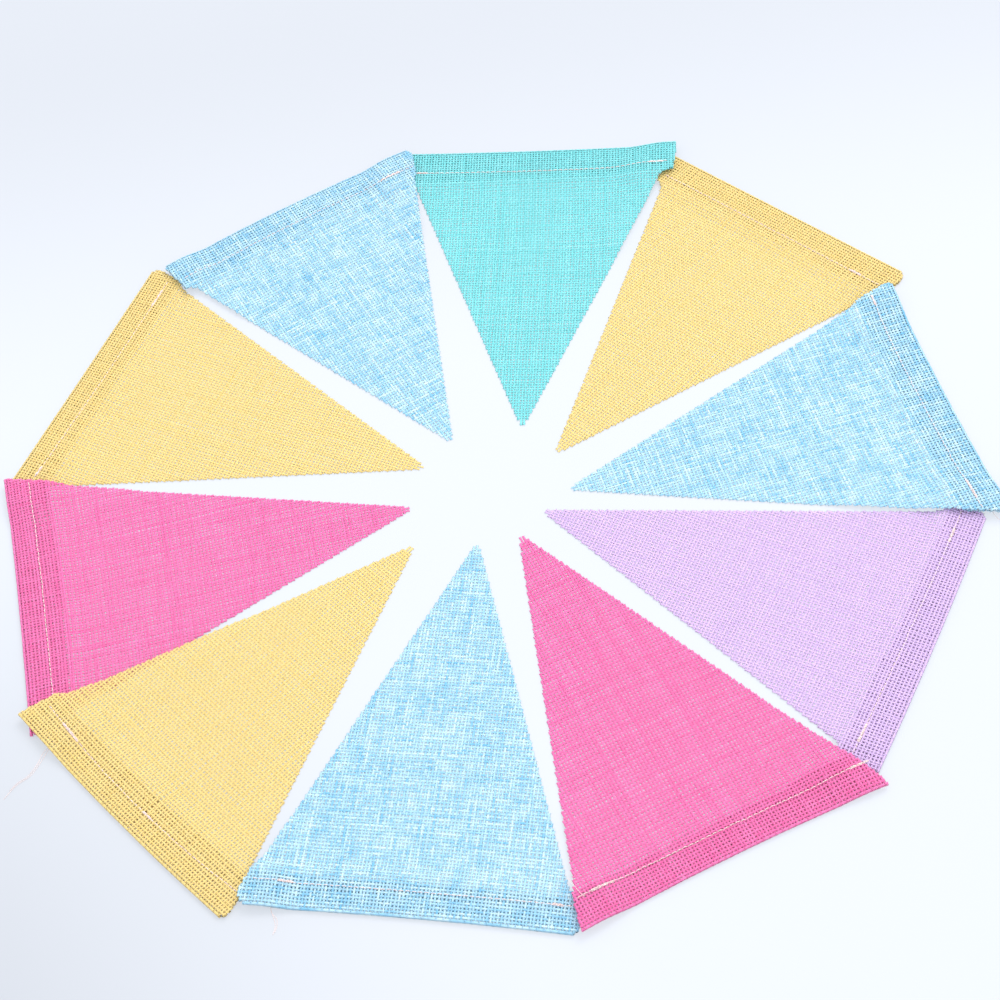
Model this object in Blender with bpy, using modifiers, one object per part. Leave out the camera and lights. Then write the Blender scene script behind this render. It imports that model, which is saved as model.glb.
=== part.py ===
"""Fabric bunting: ten hemmed cloth pennants that lie in a ring with their tips to the middle.

Each pennant is one piece of coarse plain-woven cloth. It is a triangle with a strip left on its wide
side. The strip is turned under along the hem line and sewn down, which makes a flat sleeve for a
string, open at both ends. The hem was cut nearly square, so its ends stand out past the slanting sides.

A pennant is drawn as one back-and-forth section. From the strip's raw edge it runs out to the fold,
turns back on itself, covers the strip, comes down to the table behind it and runs flat to the tip.
Where a corner lies on a neighbour, the whole section is lifted over it.

Axes: +X to the right, +Y away from the viewer, +Z up. The origin is under the middle of the ring's
box, on the table that the cloth lies on. Sizes below are millimetres.
"""

import math

import bmesh
import bpy
import numpy as np

MM = 0.001

# The cloth and how it is stacked.
CLOTH = 1.0
SLEEVE_GAP = 0.4
PIECE_GAP = 0.3
TIP_WIDTH = 2.0

# The cloth behind the strip's raw edge comes down to the table over this length.
RAW_EDGE_CLEARANCE = 0.5
FALL_LENGTH = 9.0

# A lifted corner stays up this far past the cloth under it, then comes down over the ramp.
LIFT_CLEARANCE = 8.0
LIFT_RAMP = 18.0
# It also stays at hem height this far behind the other pennant's hem.
HEM_CLEARANCE = 6.0

# Cells of the grid: across a pennant, and along each run of its section.
COLUMNS = 12
COLUMN_CROWDING = 1.4
RUN_CELLS = (("strip", 3), ("fold", 4), ("hem", 3), ("fall", 3), ("body", 7))
BODY_CROWDING = 1.25

# x, y: middle of the hem line. turn: direction of the hem line in degrees, from +X to +Y.
# width: along the hem line. length: from the hem line to the tip. aside: how far the tip is cut to
# the right of the middle, seen from the tip's side of the ring with the hem line above.
# hollow: how far the hem line dips in at its middle. strip_left, strip_right: depth of the strip at
# its two ends. ear_left, ear_right: how far the hem's ends stand out past the cloth's sides.
PENNANT_FIELDS = ("name", "colour", "x", "y", "turn", "width", "length", "aside", "hollow",
                  "strip_left", "strip_right", "ear_left", "ear_right")
PENNANT_ROWS = (
    ("pennant_01_turquoise", "turquoise", 51.1, 228.9, -10.1, 150.1, 189.5, -1.2, 1.0, 21.5, 19.5, 3.0, 6.0),
    ("pennant_02_yellow", "yellow", 173.2, 152.5, -47.5, 150.8, 192.0, -0.4, 0.1, 18.5, 20.0, 4.5, 0.5),
    ("pennant_03_blue", "blue", 223.4, 18.8, -82.1, 151.8, 189.4, -7.0, 1.6, 21.0, 20.5, 1.0, 1.0),
    ("pennant_04_lilac", "lilac", 183.1, -114.9, -123.2, 149.7, 192.9, 2.4, -1.1, 17.0, 19.5, 2.0, 4.0),
    ("pennant_05_pink", "pink", 75.0, -206.8, -162.1, 147.6, 195.2, 8.4, 2.3, 19.5, 17.5, 0.5, 1.5),
    ("pennant_06_blue", "blue", -68.4, -210.4, 164.9, 150.6, 193.5, -3.9, 1.5, 17.0, 17.0, 3.5, 1.0),
    ("pennant_07_yellow", "yellow", -189.0, -138.2, 126.9, 147.3, 186.6, 8.2, -1.8, 21.5, 19.0, 3.5, 2.0),
    ("pennant_08_pink", "pink", -234.8, -16.0, 95.0, 149.6, 192.3, 2.4, 0.7, 19.5, 22.0, 2.0, 0.5),
    ("pennant_09_yellow", "yellow", -201.2, 121.2, 59.4, 153.4, 191.8, 3.4, 0.2, 18.5, 18.0, 3.0, 3.0),
    ("pennant_10_blue", "blue", -86.9, 213.6, 22.9, 150.9, 185.8, -5.0, -3.5, 21.0, 19.0, 4.5, 1.0),
)

# Which pennant lies on which, by number.
LAYS_ON = ((10, 1), (1, 2), (3, 2), (3, 4), (5, 4), (5, 6), (6, 7), (7, 8), (8, 9), (10, 9))

CLOTH_COLOURS = {
    "turquoise": "62D6D0",
    "yellow": "FBD477",
    "blue": "86CBF2",
    "lilac": "DCC3F4",
    "pink": "FA6DAE",
}
CLOTH_ROUGHNESS = 0.92


def smooth_step(share):
    """0 up to share 0, 1 from share 1 on, and the cubic 3 s^2 - 2 s^3 between."""
    share = np.clip(share, 0.0, 1.0)
    return share * share * (3.0 - 2.0 * share)


def linear_colour(code):
    """The linear RGBA of an sRGB hex colour."""
    values = [int(code[i:i + 2], 16) / 255.0 for i in (0, 2, 4)]
    return [v / 12.92 if v <= 0.04045 else ((v + 0.055) / 1.055) ** 2.4 for v in values] + [1.0]


def cloth_materials():
    """One matt cloth for each colour of the set."""
    materials = {}
    for colour, code in CLOTH_COLOURS.items():
        material = bpy.data.materials.new("cloth_" + colour)
        material.use_nodes = True
        shader = material.node_tree.nodes["Principled BSDF"]
        shader.inputs["Base Color"].default_value = linear_colour(code)
        shader.inputs["Roughness"].default_value = CLOTH_ROUGHNESS
        shader.inputs["Metallic"].default_value = 0.0
        material.diffuse_color = linear_colour(code)
        materials[colour] = material
    return materials


def to_table(pennant, across, depth):
    """Table positions of points at a distance across from the hem's middle and a depth behind its line."""
    turn = math.radians(pennant["turn"])
    x = pennant["x"] + across * math.cos(turn) + depth * math.sin(turn)
    y = pennant["y"] + across * math.sin(turn) - depth * math.cos(turn)
    return np.stack([x, y], axis=-1)


def depth_behind_hem(pennant, points):
    """How far points on the table lie behind a pennant's hem line."""
    turn = math.radians(pennant["turn"])
    from_middle = points - np.array([pennant["x"], pennant["y"]])
    return from_middle[..., 0] * math.sin(turn) - from_middle[..., 1] * math.cos(turn)


def side_line(pennant, side, depth):
    """Distance across to the cloth's left (-1) or right (+1) side at a depth."""
    at_hem = side * pennant["width"] / 2
    at_tip = pennant["aside"] + side * TIP_WIDTH / 2
    return at_hem + (at_tip - at_hem) * depth / pennant["length"]


def outline(pennant):
    """The pennant's corners on the table, anticlockwise: tip, ear, hem line, ear."""
    corners = [(side_line(pennant, -1, pennant["length"]), pennant["length"]),
               (side_line(pennant, 1, pennant["length"]), pennant["length"]),
               (side_line(pennant, 1, pennant["strip_right"]) + pennant["ear_right"], pennant["strip_right"]),
               (pennant["width"] / 2, 0.0),
               (-pennant["width"] / 2, 0.0),
               (side_line(pennant, -1, pennant["strip_left"]) - pennant["ear_left"], pennant["strip_left"])]
    return np.array([to_table(pennant, across, depth) for across, depth in corners])


def cross(a, b):
    return a[..., 0] * b[..., 1] - a[..., 1] * b[..., 0]


def shared_region(first, second):
    """The part of one convex outline that lies in another: it is cut along each of the other's sides."""
    region = list(first)
    for start, end in zip(second, np.roll(second, -1, axis=0)):
        kept = []
        for point, following in zip(region, region[1:] + region[:1]):
            here = cross(end - start, point - start)
            there = cross(end - start, following - start)
            if here >= 0:
                kept.append(point)
            if (here >= 0) != (there >= 0):
                kept.append(point + (following - point) * here / (here - there))
        region = kept
    return np.array(region)


def distance_outside(points, region):
    """Distance from points to a convex region, 0 inside it."""
    sides = np.roll(region, -1, axis=0) - region
    offsets = points[..., None, :] - region
    share = np.clip((offsets * sides).sum(-1) / (sides * sides).sum(-1), 0.0, 1.0)
    nearest = np.linalg.norm(offsets - share[..., None] * sides, axis=-1).min(-1)
    inside = (cross(sides, offsets) >= 0).all(-1)
    return np.where(inside, 0.0, nearest)


def top_of(pennant, points):
    """Height of a pennant's upper face under points, kept at hem height a little way behind its hem."""
    strip = max(pennant["strip_left"], pennant["strip_right"]) + HEM_CLEARANCE
    behind = (depth_behind_hem(pennant, points) - strip) / FALL_LENGTH
    return CLOTH + (CLOTH + SLEEVE_GAP) * (1.0 - smooth_step(behind))


def lift_over(upper, lower, points):
    """How far the upper pennant is raised at its points to lie on the lower one."""
    region = shared_region(outline(upper), outline(lower))
    if len(region) < 3:
        return np.zeros(points.shape[:-1])
    away = (distance_outside(points, region) - LIFT_CLEARANCE) / LIFT_RAMP
    return (top_of(lower, points) + PIECE_GAP) * (1.0 - smooth_step(away))


def section_rows():
    """The grid rows as (run, share of the run), from the strip's raw edge to the tip."""
    rows = []
    for run, cells in RUN_CELLS:
        rows += [(run, k / cells) for k in range(cells)]
    return rows + [("body", 1.0)]


def section_point(pennant, run, share, strip):
    """Depth behind the hem line and height of the cloth's middle at one row, for each strip depth."""
    bend = (CLOTH + SLEEVE_GAP) / 2
    bend_depth = bend + CLOTH / 2
    low = CLOTH / 2
    high = low + 2 * bend
    raw_edge = strip + RAW_EDGE_CLEARANCE
    if run == "strip":
        return strip + (bend_depth - strip) * share, low
    if run == "fold":
        angle = math.pi * share
        return bend_depth - bend * math.sin(angle), low + bend * (1.0 - math.cos(angle))
    if run == "hem":
        return bend_depth + (raw_edge - bend_depth) * share, high
    if run == "fall":
        return raw_edge + FALL_LENGTH * share, high + (low - high) * smooth_step(share)
    start = raw_edge + FALL_LENGTH
    return start + (pennant["length"] - start) * share ** BODY_CROWDING, low


def ear_share(run, share, depth, strip):
    """How much of the ears a row shows: none at the hem line, all at the strip's edge, none behind it."""
    if run == "body" or (run == "fall" and share > 0):
        return np.zeros_like(depth)
    return np.minimum(depth / strip, 1.0)


def column_places():
    """Places of the grid columns from -1 to 1, closer together towards the two sides."""
    even = np.linspace(-1.0, 1.0, COLUMNS + 1)
    return np.sign(even) * (1.0 - (1.0 - np.abs(even)) ** COLUMN_CROWDING)


def pennant_points(number, pennants):
    """Middle surface of one pennant: an array of rows x columns x (x, y, z) in millimetres."""
    pennant = pennants[number]
    across_share = (column_places() + 1.0) / 2
    strip = pennant["strip_left"] + (pennant["strip_right"] - pennant["strip_left"]) * across_share
    hollow = pennant["hollow"] * (1.0 - column_places() ** 2)
    rows = []
    for run, share in section_rows():
        depth, height = section_point(pennant, run, share, strip)
        depth = depth + np.zeros_like(across_share)
        left = side_line(pennant, -1, depth)
        right = side_line(pennant, 1, depth)
        shown = ear_share(run, share, depth, strip)
        left = left - pennant["ear_left"] * shown
        right = right + pennant["ear_right"] * shown
        across = left + (right - left) * across_share
        depth = depth + hollow * (1.0 - depth / pennant["length"])
        place = to_table(pennant, across, depth)
        lifts = [lift_over(pennant, pennants[lower], place) for upper, lower in LAYS_ON if upper == number]
        lift = np.maximum.reduce(lifts) if lifts else 0.0
        rows.append(np.concatenate([place, (height + lift + np.zeros(COLUMNS + 1))[:, None]], axis=-1))
    return np.array(rows)


def add_pennant(name, points, material, collection):
    """A grid laid over the middle surface, thickened equally to both sides."""
    row_cells = points.shape[0] - 1
    bm = bmesh.new()
    bmesh.ops.create_grid(bm, x_segments=COLUMNS, y_segments=row_cells, size=1.0)
    for vertex in bm.verts:
        column = round((vertex.co.x + 1.0) / 2 * COLUMNS)
        row = round((vertex.co.y + 1.0) / 2 * row_cells)
        vertex.co = points[row, column] * MM
    mesh = bpy.data.meshes.new(name)
    bm.to_mesh(mesh)
    bm.free()
    mesh.materials.append(material)
    mesh.shade_smooth()
    pennant = bpy.data.objects.new(name, mesh)
    thickness = pennant.modifiers.new("cloth_thickness", "SOLIDIFY")
    thickness.thickness = CLOTH * MM
    thickness.offset = 0.0
    thickness.use_even_offset = True
    collection.objects.link(pennant)


def main():
    for old in list(bpy.data.objects):
        bpy.data.objects.remove(old, do_unlink=True)
    collection = bpy.data.collections.new("fabric_bunting")
    bpy.context.scene.collection.children.link(collection)
    materials = cloth_materials()
    pennants = {number: dict(zip(PENNANT_FIELDS, row)) for number, row in enumerate(PENNANT_ROWS, start=1)}
    surfaces = {number: pennant_points(number, pennants) for number in pennants}
    everything = np.concatenate([surface.reshape(-1, 3) for surface in surfaces.values()])
    middle = (everything.min(axis=0) + everything.max(axis=0)) / 2
    middle[2] = 0.0
    for number, pennant in pennants.items():
        add_pennant(pennant["name"], surfaces[number] - middle, materials[pennant["colour"]], collection)


main()
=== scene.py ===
"""Fabric bunting: the looks of ten woven pennants that lie in a ring on a pale table.

Every pennant is drawn thread by thread. Its cloth is a plain weave: the long threads run from the hem
to the tip, the cross threads run along the hem, and each goes over one and under the next. The weave
follows one section of the folded cloth, so the threads turn round the hem's fold and carry on in the
strip below. Sizes are millimetres unless a name says otherwise, and meshes are metres.
"""

import math

import bpy
import numpy as np
from mathutils import Matrix, Vector

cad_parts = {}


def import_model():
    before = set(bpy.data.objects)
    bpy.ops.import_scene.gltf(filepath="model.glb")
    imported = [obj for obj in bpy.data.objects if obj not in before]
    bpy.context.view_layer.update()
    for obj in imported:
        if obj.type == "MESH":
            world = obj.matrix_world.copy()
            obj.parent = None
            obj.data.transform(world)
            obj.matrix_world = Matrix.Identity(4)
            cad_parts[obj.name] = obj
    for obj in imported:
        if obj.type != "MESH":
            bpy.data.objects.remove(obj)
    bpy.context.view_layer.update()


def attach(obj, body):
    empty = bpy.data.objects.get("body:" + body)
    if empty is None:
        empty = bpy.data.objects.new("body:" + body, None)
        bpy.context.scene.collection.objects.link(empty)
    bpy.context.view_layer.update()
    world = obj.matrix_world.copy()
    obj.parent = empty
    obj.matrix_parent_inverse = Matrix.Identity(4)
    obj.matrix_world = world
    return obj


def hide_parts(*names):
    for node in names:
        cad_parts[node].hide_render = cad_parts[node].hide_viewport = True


MM = 0.001
FIRST_SEED = 100

# The folded cloth, as in the solids. BEND is the radius of the fold's mid-line.
CLOTH = 1.0
SLEEVE_GAP = 0.4
PIECE_GAP = 0.3
TIP_WIDTH = 2.0
RAW_EDGE_CLEARANCE = 0.5
FALL_LENGTH = 9.0
LIFT_CLEARANCE = 8.0
LIFT_RAMP = 18.0
HEM_CLEARANCE = 6.0
EAR_END = FALL_LENGTH / 3
BEND = (CLOTH + SLEEVE_GAP) / 2
RING_MIDDLE = np.array([-3.748, 6.457])

# Where each pennant lies and how it was cut, as in the solids. Lengths are millimetres, turn is degrees.
PENNANT_FIELDS = ("name", "colour", "x", "y", "turn", "width", "length", "aside", "hollow",
                  "strip_left", "strip_right", "ear_left", "ear_right")
PENNANT_ROWS = (
    ("pennant_01_turquoise", "turquoise", 51.1, 228.9, -10.1, 150.1, 189.5, -1.2, 1.0, 21.5, 19.5,
     3.0, 6.0),
    ("pennant_02_yellow", "yellow", 173.2, 152.5, -47.5, 150.8, 192.0, -0.4, 0.1, 18.5, 20.0, 4.5, 0.5),
    ("pennant_03_blue", "blue", 223.4, 18.8, -82.1, 151.8, 189.4, -7.0, 1.6, 21.0, 20.5, 1.0, 1.0),
    ("pennant_04_lilac", "lilac", 183.1, -114.9, -123.2, 149.7, 192.9, 2.4, -1.1, 17.0, 19.5, 2.0, 4.0),
    ("pennant_05_pink", "pink", 75.0, -206.8, -162.1, 147.6, 195.2, 8.4, 2.3, 19.5, 17.5, 0.5, 1.5),
    ("pennant_06_blue", "blue", -68.4, -210.4, 164.9, 150.6, 193.5, -3.9, 1.5, 17.0, 17.0, 3.5, 1.0),
    ("pennant_07_yellow", "yellow", -189.0, -138.2, 126.9, 147.3, 186.6, 8.2, -1.8, 21.5, 19.0, 3.5, 2.0),
    ("pennant_08_pink", "pink", -234.8, -16.0, 95.0, 149.6, 192.3, 2.4, 0.7, 19.5, 22.0, 2.0, 0.5),
    ("pennant_09_yellow", "yellow", -201.2, 121.2, 59.4, 153.4, 191.8, 3.4, 0.2, 18.5, 18.0, 3.0, 3.0),
    ("pennant_10_blue", "blue", -86.9, 213.6, 22.9, 150.9, 185.8, -5.0, -3.5, 21.0, 19.0, 4.5, 1.0),
)
# Which pennant's corner lies on which other's.
LAYS_ON = ((10, 1), (1, 2), (3, 2), (3, 4), (5, 4), (5, 6), (6, 7), (7, 8), (8, 9), (10, 9))

# Radii of the hem's left and right corners: the usual ones, and those of corners blunter than the rest.
USUAL_ROUNDING = (1.2, 1.2)
CORNER_ROUNDING = {2: (1.2, 6.0), 3: (3.5, 1.2), 4: (5.5, 1.2), 6: (4.5, 6.0), 7: (3.5, 1.2),
                   9: (1.2, 4.0), 10: (2.0, 4.0)}

# The weave: distance between threads, their width where flattened and their height, and the crimp, which
# is how far a thread rises and sinks as it passes over and under.
LONG_PITCH = 1.53
CROSS_PITCH = 1.67
LONG_WIDTH = 1.17
CROSS_WIDTH = 1.24
YARN_HEIGHT = 0.20
CRIMP = 0.09
YARN_SIDES = 3
CUT_END_WIDTH = 1.25
FEWEST_CROSSINGS = 3

# The strip was turned in a little off the grain, so its threads don't lie under the upper layer's. They
# drift to where they fill its gaps as seen from the front, LAYER_SIGHT further back for the layers' height.
STRIP_DRIFT_LENGTH = 6.0
LAYER_SIGHT = 1.03

# How uneven it is: threads wander sideways, swell into slubs, and are cut a little long or short.
# Spans are counted in crossings, widths are shares of the usual one, and the warp's lengths are the
# millimetres over which its slow waves turn by one radian.
WARP_OF_CLOTH = 0.55
WARP_LENGTHS = (31.0, 47.0, 29.0, 53.0)
STILL_AT_FOLD = 12.0
LATTICE_SHIFT = 0.2
WANDER = 0.14
WANDER_SPAN = 9
WHOLE_THREAD_WANDER = 0.5
SLUB_SPAN = 5
SLUB_WIDTH = 0.10
WIDTH_SPREAD = 0.05
FLECK_SPAN = 2
CUT_FRAY = 0.04
SHORTEST_END = 0.12
LONGEST_END = 1.3

# Room between threads in the texture maps. In the map for baking, a thread's band leaves BAKE_EDGE of its
# row free on either side.
YARN_MAP_ROW = 7.0
THREAD_MAP_ROW = 4.0
CAP_MAP_STEP = 0.3
CAP_BAKE_ROOM = 0.7
BAKE_EDGE = 0.06
BAKE_GAP = 4.0

# How much of the light that meets the cloth passes through, and how much paler it comes out there. Then
# the strength of the table's glow, which is painted light, and those of the room and the window.
TRANSLUCENCY = 0.50
THROUGH_PALENESS = 0.50
FLOOR_PAINTED_GLOW = 0.68
ROOM_LIGHT = 1.72
WINDOW_POWER = 96.0

# The camera, from the photograph's perspective. The focal length is given as a share of the frame's width.
CAMERA_DISTANCE = 1008.0
CAMERA_ELEVATION = 53.62
CAMERA_ROLL = -9.20
SENSOR_WIDTH = 36.0
FOCAL_SHARE_OF_FRAME = 2.099

# The sewing: a row of stitches a little in from the strip's raw edge. Depths are where the row runs
# behind the hem line at its left, middle and right; span and bundles are distances across from the
# hem's middle; top is how high a stitch stands above the cloth's middle. A stitch's shares are where its
# thread has points between two holes. Jitters are how far holes stray, first along the line, then off it.
STITCH = 2.7
STITCH_SHARES = np.array([0.0, 0.06, 0.2, 0.5, 0.8, 0.94])
HOLE_DEPTH = 0.9
HOLE_JITTER = (0.25, 0.12)
SEWING_RADIUS = 0.19
LOOSE_RADIUS = 0.11
THREAD_SIDES = 5
THREAD_END_TAPER = 0.55
BUNDLE_SPACING = 0.36
BUNDLE_TOPS = (0.34, 0.46, 0.34)
BUNDLE_HOLE_DEPTH = 0.5
BUNDLE_JITTER = (0.5, 0.10)
SEWING = {
    1: {"depths": (15.3, 16.0, 15.0), "span": (-70, 70), "top": 0.40, "bundles": ((-66, -60), (60, 68))},
    2: {"depths": (14.7, 14.7, 14.7), "span": (-70, 69), "top": 0.24, "bundles": ((48, 55),)},
    3: {"depths": (13.0, 13.0, 12.5), "span": (-70, 70), "top": 0.30, "bundles": ((-70, -63), (52, 64))},
    4: {"depths": (12.0, 13.0, 14.0), "span": (-70, 70), "top": 0.26, "bundles": ((-59, -50), (54, 64))},
    5: {"depths": (13.3, 13.0, 14.5), "span": (-71, 69), "top": 0.75, "bundles": ((-71, -62), (51, 62))},
    6: {"depths": (13.0, 12.5, 12.5), "span": (-70, 68), "top": 0.30, "bundles": ((-66, -61), (50, 57))},
    7: {"depths": (13.5, 11.0, 13.5), "span": (-68, 66), "top": 0.22, "bundles": ((-13, -7), (42, 54))},
    8: {"depths": (12.5, 12.5, 12.5), "span": (-71, 69), "top": 0.40, "bundles": ((-69, -62),)},
    9: {"depths": (10.5, 12.0, 12.5), "span": (-70, 70), "top": 0.22, "bundles": ((-66, -60), (52, 64))},
    10: {"depths": (15.0, 14.0, 14.0), "span": (-70, 70), "top": 0.28, "bundles": ((50, 62),)},
}

# Loose ends of the sewing on the table, as knots (across, depth behind the hem line, height above the
# table). A depth under 0 is in front of the hem.
LOOSE_ENDS = {
    3: (((66.0, 10.0, 2.6), (69.2, 8.4, 2.6), (72.4, 8.2, 1.5), (75.3, 7.0, 0.4), (77.0, 4.9, 0.2),
         (78.2, 2.3, 0.3)),),
    6: (((58.6, 4.0, 1.2), (57.6, 0.6, 0.9), (55.8, -3.0, 0.3), (54.5, -6.4, 0.2), (54.7, -10.7, 0.6)),
        ((58.6, 4.0, 1.2), (57.2, -0.5, 0.8), (54.6, -3.0, 0.3), (53.8, -6.2, 0.2), (54.2, -9.4, 0.3))),
    7: (((50.6, 4.0, 1.2), (50.1, -0.3, 0.9), (47.6, -7.6, 0.3), (45.8, -14.5, 0.2), (46.4, -21.9, 0.5),
         (45.2, -30.1, 0.2)),
        ((50.6, 4.0, 1.2), (50.9, -2.4, 0.7), (48.2, -8.6, 0.3), (46.5, -15.0, 0.3), (47.2, -20.8, 0.2),
         (46.6, -25.5, 0.4))),
}

# A loose end that lies on the cloth: the same, with its height above the cloth's middle.
ENDS_ON_CLOTH = {5: (((64.5, 14.2, -0.2), (65.9, 14.0, 0.4), (67.0, 18.7, 0.5), (67.5, 21.9, 0.5),
                      (67.7, 25.0, 0.2)),)}


class Yarns:
    """One family of parallel threads: mid-line places, which rings exist, and their shade and width."""

    def __init__(self, places, normals, used, along, width, shade):
        self.places = places
        self.normals = normals
        self.used = used
        self.along = along
        self.width = width
        self.shade = shade


def smooth_step(share):
    """0 up to share 0, 1 from share 1 on, and the cubic 3 s^2 - 2 s^3 between."""
    share = np.clip(share, 0.0, 1.0)
    return share * share * (3.0 - 2.0 * share)


def unit(vectors):
    """Vectors scaled to length one."""
    return vectors / np.maximum(np.linalg.norm(vectors, axis=-1, keepdims=True), 1e-12)


def cross_2d(a, b):
    """The z part of the cross product of plane vectors."""
    return a[..., 0] * b[..., 1] - a[..., 1] * b[..., 0]


def to_table(pennant, across, depth):
    """Table place of points at a distance across from the hem's middle and a depth behind its line."""
    turn = math.radians(pennant["turn"])
    x = pennant["x"] + across * math.cos(turn) + depth * math.sin(turn)
    y = pennant["y"] + across * math.sin(turn) - depth * math.cos(turn)
    return np.stack([x, y], axis=-1)


def depth_behind_hem(pennant, points):
    """How far table points lie behind a pennant's hem line."""
    turn = math.radians(pennant["turn"])
    from_middle = points - np.array([pennant["x"], pennant["y"]])
    return from_middle[..., 0] * math.sin(turn) - from_middle[..., 1] * math.cos(turn)


def side_line(pennant, side, depth):
    """Distance across to the cloth's left (-1) or right (+1) side: straight from hem corner to tip."""
    at_hem = side * pennant["width"] / 2
    at_tip = pennant["aside"] + side * TIP_WIDTH / 2
    return at_hem + (at_tip - at_hem) * depth / pennant["length"]


def outline(pennant):
    """The pennant's corners on the table, anticlockwise: tip, ear, hem line, ear."""
    ear_right = side_line(pennant, 1, pennant["strip_right"]) + pennant["ear_right"]
    ear_left = side_line(pennant, -1, pennant["strip_left"]) - pennant["ear_left"]
    corners = [(side_line(pennant, -1, pennant["length"]), pennant["length"]),
               (side_line(pennant, 1, pennant["length"]), pennant["length"]),
               (ear_right, pennant["strip_right"]),
               (pennant["width"] / 2, 0.0),
               (-pennant["width"] / 2, 0.0),
               (ear_left, pennant["strip_left"])]
    return np.array([to_table(pennant, across, depth) for across, depth in corners])


def shared_region(first, second):
    """The part of one convex outline that lies in another: it is cut along each of the other's sides."""
    region = list(first)
    for start, end in zip(second, np.roll(second, -1, axis=0)):
        kept = []
        for point, following in zip(region, region[1:] + region[:1]):
            here = cross_2d(end - start, point - start)
            there = cross_2d(end - start, following - start)
            if here >= 0:
                kept.append(point)
            if (here >= 0) != (there >= 0):
                kept.append(point + (following - point) * here / (here - there))
        region = kept
    return np.array(region)


def distance_outside(points, region):
    """Distance from points to a convex region, 0 inside it."""
    sides = np.roll(region, -1, axis=0) - region
    offsets = points[..., None, :] - region
    share = np.clip((offsets * sides).sum(-1) / (sides * sides).sum(-1), 0.0, 1.0)
    nearest = np.linalg.norm(offsets - share[..., None] * sides, axis=-1).min(-1)
    inside = (cross_2d(sides, offsets) >= 0).all(-1)
    return np.where(inside, 0.0, nearest)


def top_of(pennant, points):
    """Height of a pennant's upper face under points: one layer, or the hem's two and their gap."""
    strip = max(pennant["strip_left"], pennant["strip_right"]) + HEM_CLEARANCE
    behind = (depth_behind_hem(pennant, points) - strip) / FALL_LENGTH
    return CLOTH + (CLOTH + SLEEVE_GAP) * (1.0 - smooth_step(behind))


def lift_over(upper, lower, points):
    """How far the upper pennant is raised to lie on the lower: full over both, smoothly to 0 beyond."""
    region = shared_region(outline(upper), outline(lower))
    if len(region) < 3:
        return np.zeros(points.shape[:-1])
    away = (distance_outside(points, region) - LIFT_CLEARANCE) / LIFT_RAMP
    return (top_of(lower, points) + PIECE_GAP) * (1.0 - smooth_step(away))


def section(along, strip):
    """Depth behind the hem line and height of the cloth's middle, at a length along it from the fold.

    A quarter circle of radius BEND either way from the fold's crest, then straight: below for a length
    under 0, above for one over 0, where the cloth comes down behind the strip's raw edge."""
    angle = np.clip(along / BEND, -math.pi / 2, math.pi / 2)
    straight = np.maximum(np.abs(along) - BEND * math.pi / 2, 0.0)
    depth = BEND + CLOTH / 2 - BEND * np.cos(angle) + straight
    height = CLOTH / 2 + BEND * (1.0 + np.sin(angle))
    fallen = smooth_step((depth - strip - RAW_EDGE_CLEARANCE) / FALL_LENGTH)
    return depth, np.where(along > 0, height - 2 * BEND * fallen, height)


def strip_depth(pennant, across):
    """Depth of the turned-in strip, which changes evenly from its left end to its right."""
    share = np.clip(across / pennant["width"] + 0.5, 0.0, 1.0)
    return pennant["strip_left"] + (pennant["strip_right"] - pennant["strip_left"]) * share


def cloth_point(number, across, along):
    """Table place and height of the cloth's middle surface at (across, along), lifted over neighbours."""
    pennant = PENNANTS[number]
    depth, unlifted = section(along, strip_depth(pennant, across))
    bow = pennant["hollow"] * (1.0 - np.clip(2 * across / pennant["width"], -1, 1) ** 2)
    place = to_table(pennant, across, depth + bow * (1.0 - depth / pennant["length"]))
    height = unlifted
    for upper, lower in LAYS_ON:
        if upper == number:
            height = np.maximum(height, unlifted + lift_over(pennant, PENNANTS[lower], place))
    return np.concatenate([place - RING_MIDDLE, height[..., None]], axis=-1)


def cloth_normal(number, across, along):
    """Outward normal of the cloth: the cross product of its two slopes, taken 0.6 mm apart."""
    step = 0.3
    by_across = cloth_point(number, across + step, along) - cloth_point(number, across - step, along)
    by_along = cloth_point(number, across, along + step) - cloth_point(number, across, along - step)
    return unit(np.cross(by_along, by_across))


def noise_along(rng, count, length, span):
    """Rows of smooth noise from -1 to 1: random knots every span samples, blended by the cubic step."""
    knots = rng.uniform(-1, 1, (count, int(length / span) + 3))
    at = np.arange(length)[None, :] / span + rng.uniform(0, 1, (count, 1))
    first = at.astype(int)
    share = smooth_step(at - first)
    row = np.arange(count)[:, None]
    return knots[row, first] * (1 - share) + knots[row, first + 1] * share


def rounded_corner(pennant, side, from_side, depth, radius):
    """Distance inside the side, or inside the circle that rounds the corner of side and hem line.

    The circle touches both lines. It counts between its radii to the two points where it does."""
    slope = (pennant["width"] / 2 - side * pennant["aside"]) / pennant["length"]
    tilt = math.hypot(1.0, slope)
    outward = radius * tilt - from_side - slope * (depth - radius)
    forward = radius - depth
    in_corner = (outward > 0) & (outward * slope + forward > 0)
    return np.where(in_corner, radius - np.hypot(outward, forward), from_side)


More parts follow.
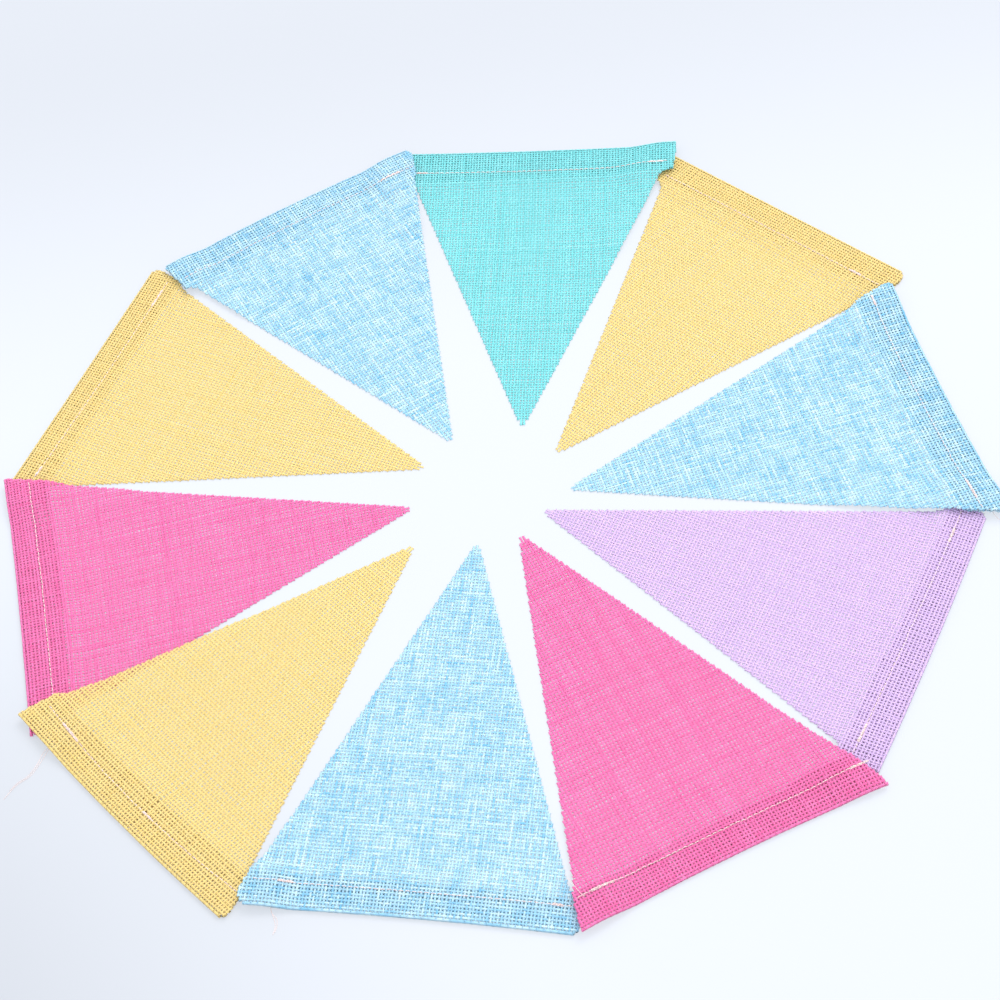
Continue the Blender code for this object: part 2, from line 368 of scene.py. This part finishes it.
def weave(number, colour, rng):
    """The two families of threads of one pennant, on one lattice of crossings.

    Crossing (i, j) is where long thread i meets cross thread j. Both threads read their place there
    from the same lattice, one raised by the crimp along the normal and the other lowered, by turns."""
    pennant = PENNANTS[number]
    half = int(pennant["width"] / 2 / LONG_PITCH) + 2
    strip = max(pennant["strip_left"], pennant["strip_right"])
    first = -int(strip / CROSS_PITCH) - 2
    last = int(pennant["length"] / CROSS_PITCH) + 2
    across = np.arange(-half, half + 1) * LONG_PITCH + rng.uniform(-LATTICE_SHIFT, LATTICE_SHIFT)
    along = (np.arange(first, last + 1) + 0.5) * CROSS_PITCH
    shape = (len(across), len(along))
    grid_across, grid_along = np.meshgrid(across, along, indexing="ij")
    phase = rng.uniform(0, 2 * math.pi, 4)
    first_wave, second_wave, third_wave, fourth_wave = (
        np.sin(grid / length + start) for grid, length, start in
        zip((grid_along, grid_across, grid_across, grid_along), WARP_LENGTHS, phase))
    bend_across = first_wave * second_wave
    bend_along = third_wave * fourth_wave
    free = smooth_step(np.abs(grid_along) / STILL_AT_FOLD)
    u = grid_across + WARP_OF_CLOTH * bend_across + WANDER * (
        noise_along(rng, *shape, WANDER_SPAN) + rng.normal(0, WHOLE_THREAD_WANDER, (shape[0], 1)))
    s = grid_along + free * (WARP_OF_CLOTH * bend_along + WANDER * (
        noise_along(rng, shape[1], shape[0], WANDER_SPAN).T
        + rng.normal(0, WHOLE_THREAD_WANDER, (1, shape[1]))))

    turn = math.radians(pennant["turn"])
    drift = smooth_step(-grid_along / STRIP_DRIFT_LENGTH)
    u = u + drift * (LONG_PITCH / 2 + LAYER_SIGHT * math.sin(turn))
    s = s - drift * (CROSS_PITCH / 2 - LAYER_SIGHT * math.cos(turn))

    depth, _ = section(s, strip_depth(pennant, u))
    left = side_line(pennant, -1, depth)
    right = side_line(pennant, 1, depth)
    past_strip = (depth - strip_depth(pennant, u) - RAW_EDGE_CLEARANCE) / EAR_END
    ear_share = np.clip(depth / strip_depth(pennant, u), 0.0, 1.0) * np.clip(1.0 - past_strip, 0.0, 1.0)
    left = left - pennant["ear_left"] * ear_share
    right = right + pennant["ear_right"] * ear_share
    raw_edge = -(strip_depth(pennant, u) - CLOTH / 2 - BEND + BEND * math.pi / 2)
    tip = pennant["length"] + BEND * (math.pi / 2 - 1.0) - CLOTH / 2
    from_left = rounded_corner(pennant, -1, u - left, depth, pennant["round_left"])
    from_right = rounded_corner(pennant, 1, right - u, depth, pennant["round_right"])
    margin = np.minimum(np.minimum(from_left, from_right), np.minimum(s - raw_edge, tip - s))

    over = 1.0 - 2.0 * ((np.arange(shape[0])[:, None] + np.arange(shape[1])[None, :]) % 2)
    long_yarns = yarn_family(number, u, s, margin, over, 1, rng, colour)
    cross_yarns = yarn_family(number, u.T, s.T, margin.T, -over.T, 0, rng, colour)
    return long_yarns, cross_yarns


def yarn_family(number, u, s, margin, over, runs_in_s, rng, colour):
    """Rings of one family: one at each crossing inside the cut, and one where each end is cut.

    The margin is how far a crossing lies inside the cut. Where it changes sign between two crossings
    the thread is cut, so the outer ring is drawn back there, give or take the fray."""
    inside = margin > 0
    inside = inside & (inside.sum(1) >= FEWEST_CROSSINGS)[:, None]
    before = np.zeros_like(inside)
    before[:, :-1] = inside[:, 1:] & ~inside[:, :-1]
    after = np.zeros_like(inside)
    after[:, 1:] = inside[:, :-1] & ~inside[:, 1:]
    used = inside | before | after
    is_end = before | after
    inner = np.where(before, np.roll(margin, -1, axis=1), np.roll(margin, 1, axis=1))
    kept = np.where(is_end, inner / np.maximum(inner - margin, 0.01), 1.0)
    kept = np.where(is_end, np.clip(kept + rng.normal(0, CUT_FRAY, kept.shape), SHORTEST_END, LONGEST_END),
                    1.0)
    inner_u = np.where(before, np.roll(u, -1, axis=1), np.roll(u, 1, axis=1))
    inner_s = np.where(before, np.roll(s, -1, axis=1), np.roll(s, 1, axis=1))
    u = inner_u + (u - inner_u) * kept
    s = inner_s + (s - inner_s) * kept
    normals = cloth_normal(number, u, s)
    places = cloth_point(number, u, s) + normals * (CRIMP * over)[..., None]
    slub = noise_along(rng, *u.shape, SLUB_SPAN)
    width = 1.0 + SLUB_WIDTH * slub + rng.normal(0, WIDTH_SPREAD, (len(u), 1))
    width = width * np.where(is_end, CUT_END_WIDTH, 1.0) * (LONG_WIDTH if runs_in_s else CROSS_WIDTH)
    look = CLOTHS[colour]
    shade = 0.5 + look["thread_spread"] * rng.normal(0, 1.0, (len(u), 1))
    shade = shade + look["slub_spread"] * noise_along(rng, *u.shape, look["slub_span"])
    shade = shade + look["fleck_spread"] * noise_along(rng, *u.shape, FLECK_SPAN)
    along = s if runs_in_s else u
    return Yarns(places, normals, used, along, width, np.clip(shade, 0.0, 1.0))


def ring_points(yarns):
    """Three corners of each ring: two at the foot, half a width to the sides, and one on the outer face.

    The smooth shading rounds them."""
    heading = unit(np.gradient(yarns.places, axis=1))
    sideways = unit(np.cross(heading, yarns.normals))
    upright = unit(np.cross(sideways, heading))
    half_width = sideways * (yarns.width / 2)[..., None]
    half_height = upright * YARN_HEIGHT / 2
    corners = [yarns.places - half_width - half_height,
               yarns.places + half_width - half_height,
               yarns.places + half_height]
    return np.stack(corners, axis=2)


def round_tubes(paths, radii, sides):
    """A round tube of its own radius along each path: rings square to it at its points, and end caps.

    Gives the points, the corners of the faces, the size of each face and its place in a map."""
    points = []
    loops = []
    sizes = []
    uv = []
    base = 0
    for row, (path, radius) in enumerate(zip(paths, radii)):
        heading = unit(np.gradient(path, axis=0))
        sideways = unit(np.cross(heading, np.array([0.0, 0.0, 1.0])) + np.array([1e-6, 0.0, 0.0]))
        upright = np.cross(sideways, heading)
        steps = np.linalg.norm(np.diff(path, axis=0), axis=1)
        length = np.concatenate([[0.0], np.cumsum(steps)])
        turn = np.arange(sides) * 2 * math.pi / sides
        ring = (sideways[:, None] * np.cos(turn)[:, None] + upright[:, None] * np.sin(turn)[:, None])
        taper = np.ones(len(path))
        taper[[0, -1]] = THREAD_END_TAPER
        points.append((path[:, None] + ring * radius * taper[:, None, None]).reshape(-1, 3))
        at = base + np.arange(len(path) - 1)[:, None] * sides
        side = np.arange(sides)[None, :]
        following = (side + 1) % sides
        quad = np.stack([at + side, at + following, at + sides + following, at + sides + side], axis=-1)
        loops.append(quad[..., ::-1].ravel())
        sizes.append(np.full(quad.shape[0] * sides, 4))
        x0 = np.broadcast_to(length[:-1, None], quad.shape[:2])
        x1 = np.broadcast_to(length[1:, None], quad.shape[:2])
        low = row * THREAD_MAP_ROW
        y0 = np.broadcast_to(low + side * 2 * math.pi * radius / sides, quad.shape[:2])
        y1 = y0 + 2 * math.pi * radius / sides
        uv.append(np.stack([np.stack([x1, y0], -1), np.stack([x1, y1], -1),
                            np.stack([x0, y1], -1), np.stack([x0, y0], -1)], axis=-2).reshape(-1, 2))
        last = base + (len(path) - 1) * sides
        loops.append(base + np.arange(sides))
        loops.append(last + np.arange(sides)[::-1])
        sizes.append(np.array([sides, sides]))
        disc = np.stack([np.cos(turn), np.sin(turn)], axis=-1) * radius
        uv.append(disc + np.array([-1.0, low]))
        uv.append(disc[::-1] + np.array([length[-1] + 1.0, low]))
        base += len(path) * sides
    return np.concatenate(points), np.concatenate(loops), np.concatenate(sizes), np.concatenate(uv)


def thread_mesh(name, paths, radii):
    """A mesh of sewing threads, with the map "thread" in millimetres and its copy for baking, 0 to 1."""
    points, loops, sizes, uv = round_tubes(paths, radii, THREAD_SIDES)
    mesh = mesh_from_arrays(name, points, loops, sizes)
    low = uv.min(0)
    span = uv.max(0) - low
    for layer, values in (("thread", uv), ("OFBake", (uv - low) / span)):
        own = mesh.uv_layers.new(name=layer)
        own.uv.foreach_set("vector", values.astype(np.float32).ravel())
    return mesh


def stitch_path(number, u, depth, top, dip):
    """A thread's way along a row of stitches: over the cloth for a stitch, and down at each hole.

    u and depth are the holes' places in the cloth. Between two holes the height above the cloth's middle
    goes from -dip to top and back, as the square root of a half sine, so that it is flat on top."""
    lifted = -dip + (top + dip) * np.sqrt(np.sin(STITCH_SHARES * math.pi).clip(0))
    across = np.append((u[:-1, None] + np.diff(u)[:, None] * STITCH_SHARES).ravel(), u[-1])
    behind = np.append((depth[:-1, None] + np.diff(depth)[:, None] * STITCH_SHARES).ravel(), depth[-1])
    height = np.append(np.tile(lifted, len(u) - 1), -dip)
    along = behind + BEND * (math.pi / 2 - 1.0) - CLOTH / 2
    return cloth_point(number, across, along) + cloth_normal(number, across, along) * height[:, None]


def sewing_depth(number, u):
    """Depth of the line of sewing behind the hem line: a parabola through its left, middle and right."""
    left, middle, right = SEWING[number]["depths"]
    half = PENNANTS[number]["width"] / 2 - 6.0
    share = u / half
    return middle + (right - left) / 2 * share + ((right + left) / 2 - middle) * share ** 2


def sewing_paths(number, rng):
    """Paths and radii of a hem's threads: the line of stitches, its bundles of back-stitches, loose ends."""
    look = SEWING[number]
    first, last = look["span"]
    count = int((last - first) / STITCH)
    u = np.linspace(first, last, count) + rng.uniform(-HOLE_JITTER[0], HOLE_JITTER[0], count)
    depth = sewing_depth(number, u) + rng.normal(0, HOLE_JITTER[1], count)
    paths = [stitch_path(number, u, depth, look["top"], HOLE_DEPTH)]
    radii = [SEWING_RADIUS]
    for start, end in look["bundles"]:
        for row, top in enumerate(BUNDLE_TOPS):
            count = max(int((end - start) / STITCH) + 1, 3)
            u = np.linspace(start, end, count) + rng.uniform(-BUNDLE_JITTER[0], BUNDLE_JITTER[0], count)
            offset = (row - (len(BUNDLE_TOPS) - 1) / 2) * BUNDLE_SPACING
            offset = offset + rng.normal(0, BUNDLE_JITTER[1], count)
            depth = sewing_depth(number, u) + offset
            paths.append(stitch_path(number, u, depth, top, BUNDLE_HOLE_DEPTH))
            radii.append(SEWING_RADIUS)
    for knots in LOOSE_ENDS.get(number, ()):
        across, behind, height = smooth_path(knots, 6 * len(knots)).T
        place = to_table(PENNANTS[number], across, behind) - RING_MIDDLE
        paths.append(np.concatenate([place, height[:, None]], axis=-1))
        radii.append(LOOSE_RADIUS)
    for knots in ENDS_ON_CLOTH.get(number, ()):
        across, behind, height = smooth_path(knots, 5 * len(knots)).T
        along = behind + BEND * (math.pi / 2 - 1.0) - CLOTH / 2
        above = cloth_normal(number, across, along) * height[:, None]
        paths.append(cloth_point(number, across, along) + above)
        radii.append(LOOSE_RADIUS)
    return paths, radii


def smooth_path(knots, count):
    """A smooth path through knots: uniform Catmull-Rom, its slope at a knot half the way between the
    neighbours on either side."""
    knots = np.array(knots, float)
    padded = np.concatenate([2 * knots[:1] - knots[1:2], knots, 2 * knots[-1:] - knots[-2:-1]])
    at = np.linspace(0, len(knots) - 1.000001, count)
    first = at.astype(int)
    t = (at - first)[:, None]
    a, b, c, d = (padded[first + k] for k in range(4))
    return 0.5 * (2 * b + (c - a) * t + (2 * a - 5 * b + 4 * c - d) * t ** 2
                  + (3 * b - a - 3 * c + d) * t ** 3)


def yarn_mesh(name, families):
    """One mesh of all the threads: three long sides between neighbouring rings and a cap at each end.

    The map "yarn" holds millimetres along and round each thread. In the map "OFBake" each thread is a
    straight band, the longest beside the shortest in a row, the next longest beside the next, and so on."""
    points = []
    shades = []
    band = []
    ring_total = 0
    for family in families:
        used = family.used
        number = np.cumsum(used).reshape(used.shape) - 1 + ring_total
        ring_total = number.max() + 1
        points.append(ring_points(family)[used].reshape(-1, 3))
        shades.append(np.repeat(family.shade[used], YARN_SIDES))
        start = np.where(used, family.along, np.inf).min(1)
        length = np.where(used, family.along, -np.inf).max(1) - start
        band.append((family, number, start, length))
    lengths = np.concatenate([length[family.used.any(1)] for family, _, _, length in band])
    rank = np.empty(len(lengths), int)
    rank[np.argsort(lengths)] = np.arange(len(lengths))
    partner = len(lengths) - 1 - rank
    row = np.minimum(rank, partner)
    rows = (len(lengths) + 1) // 2
    by_rank = np.sort(lengths)
    row_span = (by_rank + by_rank[::-1]).max() + BAKE_GAP
    bake_start = np.where(rank > partner, 0.0, row_span - lengths)

    bake_band = (1.0 - 2 * BAKE_EDGE) / YARN_SIDES
    yarn_uv = []
    bake_uv = []
    loops = []
    sizes = []
    done = 0
    for family, number, start, length in band:
        used = family.used
        exists = used.any(1)
        own_row = np.zeros(len(exists), int)
        own_start = np.zeros(len(exists))
        count = int(exists.sum())
        own_row[exists] = row[done:done + count]
        own_start[exists] = bake_start[done:done + count]
        done += count
        linked = used[:, :-1] & used[:, 1:]
        thread, ring = np.nonzero(linked)
        here = number[:, :-1][linked] * YARN_SIDES
        there = number[:, 1:][linked] * YARN_SIDES
        from_start = family.along - start[:, None]
        a = from_start[thread, ring]
        b = from_start[thread, ring + 1]
        for side in range(YARN_SIDES):
            following = (side + 1) % YARN_SIDES
            loops.append(np.stack([here + side, here + following, there + following, there + side],
                                  axis=1).ravel())
            sizes.append(np.full(len(here), 4))
            low = side * LONG_WIDTH
            high = low + LONG_WIDTH
            at = thread * YARN_MAP_ROW
            yarn_uv.append(corner_pairs(a, b, at + low, at + high))
            base = (own_row[thread] + BAKE_EDGE + bake_band * side) / rows
            top = base + bake_band / rows
            x0 = (own_start[thread] + a) / row_span
            x1 = (own_start[thread] + b) / row_span
            bake_uv.append(corner_pairs(x0, x1, base, top))
        for is_last in (0, 1):
            ends = np.nonzero(exists)[0]
            ring = used.shape[1] - 1 - used[ends, ::-1].argmax(1) if is_last else used[ends].argmax(1)
            index = number[ends, ring] * YARN_SIDES
            order = (0, 1, 2) if is_last else (0, 2, 1)
            loops.append(np.stack([index + k for k in order], axis=1).ravel())
            sizes.append(np.full(len(ends), 3))
            x = np.where(is_last, length[ends], 0.0)
            away = np.where(is_last, 1.0, -1.0)
            tri_x = np.stack([x, x + away * CAP_MAP_STEP, x + away * 2 * CAP_MAP_STEP], axis=1)
            at = ends * YARN_MAP_ROW
            tri_y = np.stack([at, at + 2 * CAP_MAP_STEP, at], axis=1)
            yarn_uv.append(np.stack([tri_x, tri_y], axis=-1).reshape(-1, 2))
            bake_x = (own_start[ends, None] + tri_x + CAP_BAKE_ROOM) / (row_span + 2 * CAP_BAKE_ROOM)
            bake_y = (own_row[ends, None] + np.array([[0.2, 0.5, 0.8]])) / rows
            bake_uv.append(np.stack([bake_x, bake_y], axis=-1).reshape(-1, 2))

    mesh = mesh_from_arrays(name, np.concatenate(points), np.concatenate(loops), np.concatenate(sizes))
    for layer, values in (("yarn", yarn_uv), ("OFBake", bake_uv)):
        uv = mesh.uv_layers.new(name=layer)
        uv.uv.foreach_set("vector", np.concatenate(values).astype(np.float32).ravel())
    shade = mesh.attributes.new("shade", "FLOAT", "POINT")
    shade.data.foreach_set("value", np.concatenate(shades).astype(np.float32))
    return mesh


def corner_pairs(a, b, low, high):
    """Map corners of quads whose first edge is at a, from low to high, and whose last edge is at b."""
    corners = [(a, low), (a, high), (b, high), (b, low)]
    return np.stack([np.stack(c, axis=-1) for c in corners], axis=1).reshape(-1, 2)


def mesh_from_arrays(name, points, loops, sizes):
    """A smooth-shaded mesh from points in millimetres, the corners of its faces, and each face's size."""
    mesh = bpy.data.meshes.new(name)
    mesh.vertices.add(len(points))
    mesh.vertices.foreach_set("co", (points * MM).astype(np.float32).ravel())
    mesh.loops.add(len(loops))
    mesh.loops.foreach_set("vertex_index", loops.astype(np.int32))
    mesh.polygons.add(len(sizes))
    starts = np.concatenate([[0], np.cumsum(sizes)[:-1]])
    mesh.polygons.foreach_set("loop_start", starts.astype(np.int32))
    mesh.polygons.foreach_set("loop_total", sizes.astype(np.int32))
    mesh.update(calc_edges=True)
    mesh.validate()
    mesh.shade_smooth()
    return mesh


def add_piece(name, mesh, material):
    """Puts a mesh in the scene as a piece of the object, with its finish and the body it rides on."""
    mesh.materials.append(material)
    piece = bpy.data.objects.new(name, mesh)
    bpy.context.scene.collection.objects.link(piece)
    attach(piece, "root")
    return piece


def hex_colour(code):
    """The linear RGBA of an sRGB hex colour."""
    values = [int(code[i:i + 2], 16) / 255.0 for i in (0, 2, 4)]
    return [v / 12.92 if v <= 0.04045 else ((v + 0.055) / 1.055) ** 2.4 for v in values] + [1.0]


def add_node(tree, kind, inputs=None, **settings):
    """Adds a node with its settings. An input given as a socket is linked, and any other is set."""
    made = tree.nodes.new(kind)
    for name, value in settings.items():
        setattr(made, name, value)
    for name, value in (inputs or {}).items():
        if isinstance(value, bpy.types.NodeSocket):
            tree.links.new(value, made.inputs[name])
        else:
            made.inputs[name].default_value = value
    return made


# Colours of the dyed yarn, and how far they vary: from thread to thread, along a thread in slubs of
# slub_span crossings, and in short flecks.
CLOTHS = {
    "turquoise": {"deep": "63D2D2", "pale": "A2EDEE", "thread_spread": 0.07, "slub_spread": 0.12,
                  "slub_span": 6, "fleck_spread": 0.06},
    "yellow": {"deep": "F2D578", "pale": "F8E29F", "thread_spread": 0.06, "slub_spread": 0.10,
               "slub_span": 6, "fleck_spread": 0.06},
    "blue": {"deep": "80C9E8", "pale": "E0F5F8", "thread_spread": 0.08, "slub_spread": 0.26,
             "slub_span": 4, "fleck_spread": 0.26},
    "lilac": {"deep": "D9BAE8", "pale": "EBD1F1", "thread_spread": 0.06, "slub_spread": 0.10,
              "slub_span": 6, "fleck_spread": 0.06},
    "pink": {"deep": "F05EA4", "pale": "FC90C7", "thread_spread": 0.07, "slub_spread": 0.14,
             "slub_span": 6, "fleck_spread": 0.10},
}


def cotton_material(colour):
    """Yarn-dyed cotton with a linen look, plain-woven: matt, faintly fuzzy, each thread its own shade.

    The shade attribute mixes the deep and the pale dye. Streaks 0.25 mm wide run along each thread."""
    look = CLOTHS[colour]
    material = bpy.data.materials.new("woven_cotton_" + colour)
    material.use_nodes = True
    tree = material.node_tree
    tree.nodes.clear()
    shade = add_node(tree, "ShaderNodeAttribute", attribute_name="shade")
    place = add_node(tree, "ShaderNodeUVMap", uv_map="yarn")
    stretched = add_node(tree, "ShaderNodeMapping", {"Vector": place.outputs["UV"],
                                                     "Scale": (0.8, 4.0, 1.0)})
    fibres = add_node(tree, "ShaderNodeTexNoise", {"Vector": stretched.outputs["Vector"], "Scale": 1.0,
                                                   "Detail": 2.0})
    streak = add_node(tree, "ShaderNodeMath", {0: fibres.outputs["Fac"], 1: 0.35, 2: -0.175},
                      operation="MULTIPLY_ADD")
    mixed = add_node(tree, "ShaderNodeMath", {0: shade.outputs["Fac"], 1: streak.outputs["Value"]},
                     operation="ADD", use_clamp=True)
    dye = add_node(tree, "ShaderNodeMix", {"Factor": mixed.outputs["Value"], "A": hex_colour(look["deep"]),
                                           "B": hex_colour(look["pale"])}, data_type="RGBA")
    bump = add_node(tree, "ShaderNodeBump", {"Height": fibres.outputs["Fac"], "Strength": 0.35,
                                             "Distance": 0.00008})
    shader = add_node(tree, "ShaderNodeBsdfPrincipled", {
        "Base Color": dye.outputs["Result"], "Roughness": 0.9, "Specular IOR Level": 0.25,
        "Sheen Weight": 0.25, "Sheen Roughness": 0.5, "Normal": bump.outputs["Normal"]})
    thinned = add_node(tree, "ShaderNodeMix", {"Factor": THROUGH_PALENESS, "A": dye.outputs["Result"],
                                               "B": hex_colour("FFFFFF")}, data_type="RGBA")
    through = add_node(tree, "ShaderNodeBsdfTranslucent", {"Color": thinned.outputs["Result"]})
    blend = add_node(tree, "ShaderNodeMixShader", {0: TRANSLUCENCY, 1: shader.outputs["BSDF"],
                                                   2: through.outputs["BSDF"]})
    add_node(tree, "ShaderNodeOutputMaterial", {"Surface": blend.outputs["Shader"]})
    return material


def sewing_material():
    """Spun polyester sewing thread, undyed cream: a soft gleam, and two plies that twist every 0.9 mm."""
    material = bpy.data.materials.new("cream_sewing_thread")
    material.use_nodes = True
    tree = material.node_tree
    tree.nodes.clear()
    place = add_node(tree, "ShaderNodeUVMap", uv_map="thread")
    slanted = add_node(tree, "ShaderNodeMapping", {"Vector": place.outputs["UV"],
                                                   "Rotation": (0.0, 0.0, math.radians(35))})
    plies = add_node(tree, "ShaderNodeTexWave", {"Vector": slanted.outputs["Vector"], "Scale": 0.35,
                                                 "Distortion": 1.2, "Detail": 1.0})
    dye = add_node(tree, "ShaderNodeMix", {"Factor": plies.outputs["Fac"], "A": hex_colour("C4ABA2"),
                                           "B": hex_colour("E2CEC8")}, data_type="RGBA")
    bump = add_node(tree, "ShaderNodeBump", {"Height": plies.outputs["Fac"], "Strength": 0.5,
                                             "Distance": 0.00006})
    shader = add_node(tree, "ShaderNodeBsdfPrincipled", {
        "Base Color": dye.outputs["Result"], "Roughness": 0.6, "Specular IOR Level": 0.5,
        "Sheen Weight": 0.2, "Normal": bump.outputs["Normal"]})
    add_node(tree, "ShaderNodeOutputMaterial", {"Surface": shader.outputs["BSDF"]})
    return material


def floor_material():
    """A pale table top with a glow of painted light, which keeps shadows faint and the cloth's gaps pale.

    Its glow is weaker far behind the ring, and near a point in front of it on the left: painted shade."""
    material = bpy.data.materials.new("table_painted_glow")
    material.use_nodes = True
    tree = material.node_tree
    tree.nodes.clear()
    place = add_node(tree, "ShaderNodeTexCoord")
    parts = add_node(tree, "ShaderNodeSeparateXYZ", {"Vector": place.outputs["Object"]})
    # Painted shade: the glow fades far behind the ring.
    behind = add_node(tree, "ShaderNodeMapRange", {
        "Value": parts.outputs["Y"], "From Min": 0.06, "From Max": 0.36, "To Min": FLOOR_PAINTED_GLOW,
        "To Max": FLOOR_PAINTED_GLOW * 0.78}, interpolation_type="SMOOTHSTEP")
    # Painted shade: the glow dims near a point in front of the ring on the left.
    from_corner = add_node(tree, "ShaderNodeVectorMath", {0: place.outputs["Object"],
                                                          1: (-0.40, -0.30, 0.0)}, operation="DISTANCE")
    corner = add_node(tree, "ShaderNodeMapRange", {
        "Value": from_corner.outputs["Value"], "From Min": 0.05, "From Max": 0.42, "To Min": 0.60,
        "To Max": 1.0}, interpolation_type="SMOOTHSTEP")
    glow = add_node(tree, "ShaderNodeMath", {0: behind.outputs["Result"], 1: corner.outputs["Result"]},
                    operation="MULTIPLY")
    # A dark grey table whose brightness comes mostly from its painted glow.
    shader = add_node(tree, "ShaderNodeBsdfPrincipled", {
        "Base Color": hex_colour("6A6B6F"), "Roughness": 0.9, "Emission Color": hex_colour("F2F8FF"),
        "Emission Strength": glow.outputs["Value"]})
    add_node(tree, "ShaderNodeOutputMaterial", {"Surface": shader.outputs["BSDF"]})
    return material


def add_floor():
    """A wide flat table top just under the cloth, which glows with painted light."""
    half = 3.0
    mesh = bpy.data.meshes.new("table_with_painted_glow")
    mesh.from_pydata([(-half, -half, 0), (half, -half, 0), (half, half, 0), (-half, half, 0)], [],
                     [(0, 1, 2, 3)])
    mesh.materials.append(floor_material())
    floor = bpy.data.objects.new("table_with_painted_glow", mesh)
    bpy.context.scene.collection.objects.link(floor)


def add_camera():
    """The photograph's camera: its distance, elevation and roll, looking at the ring's middle."""
    elevation = math.radians(CAMERA_ELEVATION)
    roll = math.radians(CAMERA_ROLL)
    back = Vector((0.0, -math.cos(elevation), math.sin(elevation)))
    right = Vector((1.0, 0.0, 0.0))
    up = right.cross(-back)
    turned_right = right * math.cos(roll) + up * math.sin(roll)
    turned_up = up * math.cos(roll) - right * math.sin(roll)
    rotation = Matrix((turned_right, turned_up, back)).transposed()
    aim = Vector((-RING_MIDDLE[0], -RING_MIDDLE[1], 0.0))
    data = bpy.data.cameras.new("camera")
    data.sensor_width = SENSOR_WIDTH
    data.lens = SENSOR_WIDTH * FOCAL_SHARE_OF_FRAME
    data.clip_start = 0.01
    camera = bpy.data.objects.new("camera", data)
    camera.matrix_world = Matrix.Translation((aim + back * CAMERA_DISTANCE) * MM) @ rotation.to_4x4()
    bpy.context.scene.collection.objects.link(camera)
    bpy.context.scene.camera = camera


def add_light(name, place, size, power, colour):
    """A square soft light that faces the ring's middle."""
    data = bpy.data.lights.new(name, "AREA")
    data.shape = "SQUARE"
    data.size = size
    data.energy = power
    data.color = hex_colour(colour)[:3]
    light = bpy.data.objects.new(name, data)
    light.location = place
    light.rotation_euler = Vector(place).to_track_quat("Z", "Y").to_euler()
    bpy.context.scene.collection.objects.link(light)


def add_studio():
    """A bright even room, with one large soft light from behind on the right."""
    world = bpy.data.worlds.new("room")
    bpy.context.scene.world = world
    world.use_nodes = True
    world.node_tree.nodes["Background"].inputs["Color"].default_value = hex_colour("F2F6FF")
    world.node_tree.nodes["Background"].inputs["Strength"].default_value = ROOM_LIGHT
    add_light("window", (1.4, 1.8, 2.6), 2.0, WINDOW_POWER, "FFFFFF")
    bpy.context.scene.view_settings.view_transform = "Standard"


def pennant_table():
    """Each pennant's measures by their names, with its corners' radii, under its number."""
    table = {}
    for number, row in enumerate(PENNANT_ROWS, start=1):
        table[number] = dict(zip(PENNANT_FIELDS, row))
        left, right = CORNER_ROUNDING.get(number, USUAL_ROUNDING)
        table[number].update(round_left=left, round_right=right)
    return table


PENNANTS = pennant_table()


def main():
    """The studio, then each pennant: its weave in place of its solid, and its sewing."""
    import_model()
    add_camera()
    add_floor()
    add_studio()
    materials = {colour: cotton_material(colour) for colour in CLOTHS}
    thread_material = sewing_material()
    for number, pennant in PENNANTS.items():
        rng = np.random.default_rng(FIRST_SEED + number)
        colour = pennant["colour"]
        mesh = yarn_mesh("weave_%02d" % number, weave(number, colour, rng))
        piece = add_piece("weave_%02d" % number, mesh, materials[colour])
        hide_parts(pennant["name"])
        sewn = thread_mesh("sewing_%02d" % number, *sewing_paths(number, rng))
        sewing = add_piece("sewing_%02d" % number, sewn, thread_material)


main()
